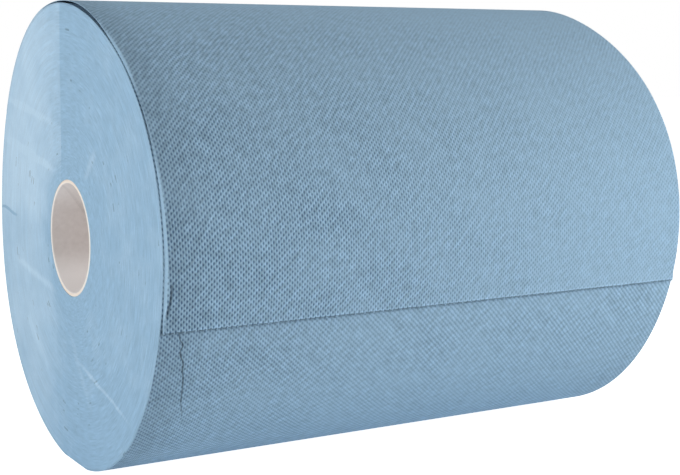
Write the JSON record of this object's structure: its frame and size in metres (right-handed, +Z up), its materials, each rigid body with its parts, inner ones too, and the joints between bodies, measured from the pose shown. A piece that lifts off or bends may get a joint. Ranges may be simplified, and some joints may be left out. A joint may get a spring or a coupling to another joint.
{
  "type": "paper towel roll",
  "caption": "Wide roll of blue embossed wiping paper wound on a cardboard core, with a loose torn end, lying on a small flat.",
  "frame": {"origin": "on the centre line of the core's bore, half way along the roll", "axes": "+X along the core, towards the far end in the picture; +Z up; the loose end of the paper hangs down the front, which faces -Y"},
  "size_m": [0.38, 0.2986, 0.2973],
  "materials": {
    "tissue_paper": "matte, embossed with small dimples",
    "core_board": "matte, spirally wound grey board"
  },
  "bodies": {
    "root": {"wound_paper": "tissue_paper", "core_tube": "core_board"}
  },
  "joints": []
}
